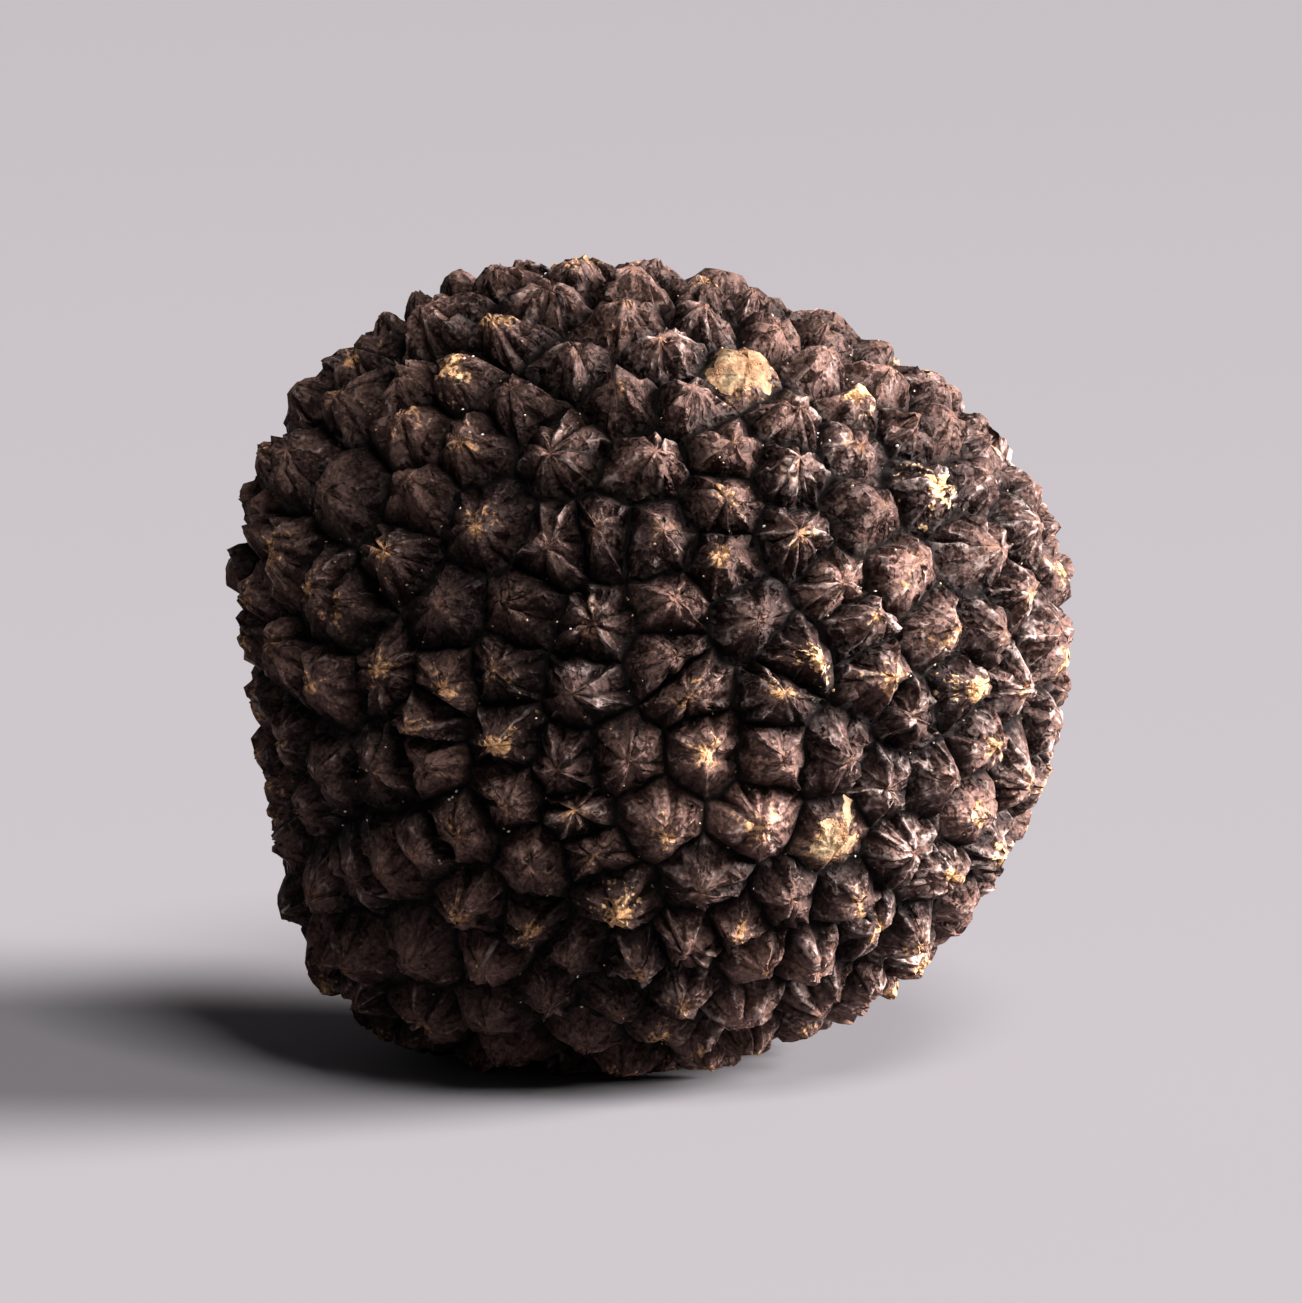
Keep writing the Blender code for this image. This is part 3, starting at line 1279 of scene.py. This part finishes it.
    def flesh(self, rind: RindReading) -> Arrow:
        """The colour of a scar: cream with tan patches and rusty pits, browner high up.

        Args:
            rind: What the mesh and the noises say.

        Returns:
            The colour.
        """
        blend = rind.bench.blend
        cream = (rind.fold * 1.0 + rind.mottle * 0.6 + rind.grain * 0.4).step(0.80, 1.06)
        colour = blend(cream, self.tan, self.cream)
        browned = rind.upwards * 20.0 + (0.5 - rind.fold) * 2.6 + (rind.mottle - 0.5) * 2.0
        colour = blend(browned.step(0.40, 0.80) * 0.60, colour, self.rust)
        colour = blend(rind.pit * 0.85, colour, self.rust)
        return colour * ((rind.grain - 0.5) * 1.2 + (rind.mottle - 0.5) * 1.2 + 0.78).at_least(0.25)

    @staticmethod
    def shade(rind: RindReading) -> Wire:
        """How light the skin is: random speckle, painted shade in the flute valleys and at the feet of the
        warts (partly darker skin there too), and a painted lit side towards the right-hand lamp.

        Args:
            rind: What the mesh and the noises say.

        Returns:
            What the colour is multiplied by.
        """
        speckle = rind.lightness * 0.45 + (rind.grain - 0.5) * 1.5 + 0.62
        # The flute term paints shade in the flute valleys and a little light on their crests
        speckle = speckle + rind.chip_tone * 0.50 + rind.flute * 0.14
        # Painted shade at the feet of the warts, where the furrows shade the lower flanks, partly darker skin
        # there too
        foot = (rind.share + (rind.mottle - 0.5) * 0.30).step(0.04, 0.56)
        # The last factor paints the side towards the right-hand lamp lighter
        return speckle.at_least(0.12) * (0.26 + foot * 0.84) * (0.88 + rind.painted_lit_side * 0.60)

    @staticmethod
    def top(rind: RindReading) -> Wire:
        """1 on the warts' tips and 0 lower down, with a ragged edge."""
        return (rind.rise + (rind.mottle - 0.5) * 1.1 + (rind.streak - 0.5) * 0.7).step(0.55, 1.1)

    def height(self, rind: RindReading) -> Wire:
        """The finest relief, in metres.

        Args:
            rind: What the mesh and the noises say.

        Returns:
            The height for the Bump node.
        """
        size = self.size
        height = (
            rind.arm * size.arm_height
            + rind.crease * size.crease_height
            + rind.flute * size.flute_height * (1.0 - rind.share)
            + (rind.mottle - 0.5) * size.mottle_height
            + (rind.grain - 0.5) * size.grain_height
            + rind.chip * size.chip_slope
            + rind.crumb * size.crumb_slope
            - rind.groove * size.groove_depth
        )
        height = height * (1.0 - rind.scar * 0.60) - rind.scar * rind.pit * size.pit_depth
        return height * (0.25 + rind.open_face * 0.75)

    def roughness(self, rind: RindReading) -> Wire:
        """Duller in the furrows and on the tips, glossier on some chips.

        Args:
            rind: What the mesh and the noises say.

        Returns:
            The roughness.
        """
        roughness = 0.92 - rind.open_face * 0.30 + (rind.mottle - 0.5) * 0.40
        roughness = roughness + self.top(rind) * 0.15 - rind.chip_tone.step(0.6, 1.0) * 0.25
        return roughness.at_least(0.30).at_most(1.0)


@dataclass(frozen=True)
class SoilFinish:
    """Dry soil and sand: dark, tan and nearly white grains."""

    name: str = "soil"
    dark: Colour = (0.090, 0.052, 0.032)
    tan: Colour = (0.460, 0.300, 0.170)
    white: Colour = (0.900, 0.840, 0.780)
    tones_a_metre: float = 800.0
    roughness: float = 0.45

    def material(self) -> bpy.types.Material:
        """Builds the material.

        Returns:
            The material.
        """
        material = bpy.data.materials.new(self.name)
        material.use_nodes = True
        material.node_tree.nodes.clear()
        bench = Bench(material.node_tree)
        place = Arrow(bench, bench.node("ShaderNodeTexCoord", {}, {}).outputs["Object"])
        tone = Arrow(bench, bench.cells(place, self.tones_a_metre).outputs["Color"]).parts()[0]
        colour = bench.blend(tone.step(0.1, 0.75), self.dark, self.tan)
        colour = bench.blend(tone.step(0.80, 0.86), colour, self.white)
        inputs = {"Base Color": colour, "Roughness": self.roughness}
        shader = bench.node("ShaderNodeBsdfPrincipled", {}, inputs)
        bench.node("ShaderNodeOutputMaterial", {}, {"Surface": shader.outputs[0]})
        return material


# ---------------------------------------------------------------------------------------------
# The truffle and the studio
# ---------------------------------------------------------------------------------------------


@dataclass
class Truffle:
    """The whole truffle as it is seen."""

    ball: TruffleBall = field(default_factory=TruffleBall)

    def build_rind(self) -> bpy.types.Object:
        """Builds the warty rind, which stands for the CAD solid.

        Returns:
            The finished piece.
        """
        net = WartNet(self.ball)
        net.lay_out()
        flat = WartMesher(net).build().to_object("flat_rind")
        finish = RindFinish().material()
        rind = WartRelief(resting_height=self.ball.resting_height).tree().run(flat, "truffle_rind", finish)
        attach(rind, BODY)
        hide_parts(NODE)
        return rind

    @staticmethod
    def build_soil(rind: bpy.types.Object) -> bpy.types.Object:
        """Sprinkles soil grains on the rind.

        Args:
            rind: The finished rind.

        Returns:
            The finished piece.
        """
        ground = rind.copy()
        ground.data = rind.data.copy()
        bpy.context.scene.collection.objects.link(ground)
        grains = SoilGrains().tree().run(ground, "soil_grains", SoilFinish().material())
        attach(grains, BODY)
        return grains


def hang_light(data: bpy.types.Light, colour: Colour, place: Vector, target: Vector) -> None:
    """Hangs a light and turns it to the target.

    Args:
        data: The light.
        colour: Its colour.
        place: Where it hangs.
        target: What it shines at.
    """
    data.color = colour
    lamp = bpy.data.objects.new(data.name, data)
    bpy.context.scene.collection.objects.link(lamp)
    lamp.location = place
    lamp.rotation_euler = (target - place).to_track_quat("-Z", "Y").to_euler()


@dataclass(frozen=True)
class SoftBox:
    """A square soft box."""

    name: str
    place: Triple
    side: float
    watts: float
    colour: Colour

    def build(self, target: Vector) -> None:
        """Makes the soft box.

        Args:
            target: What it shines at.
        """
        data = bpy.data.lights.new(self.name, "AREA")
        data.shape = "SQUARE"
        data.size = self.side
        data.energy = self.watts
        hang_light(data, self.colour, Vector(self.place), target)


@dataclass(frozen=True)
class FarLamp:
    """A wide soft light, so far off that it lights the whole floor evenly."""

    name: str
    way: Triple  # from the target towards the light
    spread: float  # how wide it looks from the target, in radians
    strength: float  # watts a square metre
    colour: Colour

    def build(self, target: Vector) -> None:
        """Makes the light.

        Args:
            target: What it shines at.
        """
        data = bpy.data.lights.new(self.name, "SUN")
        data.angle = self.spread
        data.energy = self.strength
        hang_light(data, self.colour, target + Vector(self.way), target)


@dataclass
class Studio:
    """Pale floor that sweeps up into a backdrop, soft lights and the camera."""

    elevation: float = math.radians(10.0)
    distance: float = 0.66
    fill: float = 0.66  # the truffle's width as a share of the frame's
    sensor: float = 36.0
    floor_half: float = 1.6
    sweep_start: float = 0.55
    sweep_radius: float = 0.5
    sweep_steps: int = 12
    wall_top: float = 2.2
    paper: Colour = (0.190, 0.183, 0.194)
    world_colour: Colour = (1.0, 0.97, 0.98)
    world_strength: float = 0.07
    lamps: Sequence[SoftBox | FarLamp] = (
        FarLamp("side_right", (2.45, -0.05, 0.975), 0.50, 19.5, (1.0, 0.96, 0.95)),
        SoftBox("top_front", (0.45, -0.88, 1.48), 0.60, 36.0, (1.0, 0.98, 0.97)),
    )

    def build(self, target: Vector, width: float) -> None:
        """Makes everything round the truffle.

        Args:
            target: The truffle's middle.
            width: The truffle's width.
        """
        self.build_sweep()
        for lamp in self.lamps:
            lamp.build(target)
        self.build_world()
        self.build_camera(target, width)

    def build_sweep(self) -> None:
        """One sheet of paper: floor, round sweep and wall."""
        profile = [(-self.floor_half, 0.0), (self.sweep_start, 0.0)]
        for step in range(1, self.sweep_steps + 1):
            angle = math.radians(90 * step / self.sweep_steps)
            inwards = self.sweep_start + self.sweep_radius * math.sin(angle)
            profile.append((inwards, self.sweep_radius * (1 - math.cos(angle))))
        profile.append((self.sweep_start + self.sweep_radius, self.wall_top))
        half = self.floor_half
        vertices = [(side, y, z) for y, z in profile for side in (-half, half)]
        faces = [(2 * i, 2 * i + 1, 2 * i + 3, 2 * i + 2) for i in range(len(profile) - 1)]
        mesh = bpy.data.meshes.new("paper_sweep")
        mesh.from_pydata(vertices, [], faces)
        mesh.shade_smooth()
        material = bpy.data.materials.new("paper")
        material.use_nodes = True
        shader = material.node_tree.nodes["Principled BSDF"]
        shader.inputs["Base Color"].default_value = (*self.paper, 1.0)
        shader.inputs["Roughness"].default_value = 1.0
        shader.inputs["Specular IOR Level"].default_value = 0.0
        mesh.materials.append(material)
        sweep = bpy.data.objects.new("paper_sweep", mesh)
        bpy.context.scene.collection.objects.link(sweep)

    def build_world(self) -> None:
        """A weak even light from all round."""
        world = bpy.data.worlds.new("studio")
        world.use_nodes = True
        background = world.node_tree.nodes["Background"]
        background.inputs["Color"].default_value = (*self.world_colour, 1.0)
        background.inputs["Strength"].default_value = self.world_strength
        bpy.context.scene.world = world

    def build_camera(self, target: Vector, width: float) -> None:
        """A long lens, a little above the table.

        Args:
            target: What the camera looks at.
            width: The truffle's width.
        """
        data = bpy.data.cameras.new("camera")
        data.sensor_width = self.sensor
        data.lens = self.sensor * self.distance * self.fill / width
        camera = bpy.data.objects.new("camera", data)
        bpy.context.scene.collection.objects.link(camera)
        back = Vector((0.0, -math.cos(self.elevation), math.sin(self.elevation)))
        camera.location = target + back * self.distance
        camera.rotation_euler = (-back).to_track_quat("-Z", "Y").to_euler()
        bpy.context.scene.camera = camera


def report(piece: bpy.types.Object) -> None:
    """Logs a piece's triangles and size.

    Args:
        piece: The piece.
    """
    triangles = sum(len(polygon.vertices) - 2 for polygon in piece.data.polygons)
    size = ", ".join(f"{side / MM:.2f}" for side in piece.dimensions)
    LOG.info("%s: %d triangles, %s mm", piece.name, triangles, size)


def main() -> None:
    """Builds the truffle and the studio."""
    logging.basicConfig(level=logging.INFO, format="%(name)s: %(message)s")
    bpy.context.scene.view_settings.view_transform = "Standard"
    truffle = Truffle()
    rind = truffle.build_rind()
    for piece in (rind, truffle.build_soil(rind)):
        report(piece)
    low, high = CAD_BOX
    Studio().build((low + high) / 2, high.x - low.x)


if __name__ == "__main__":
    main()
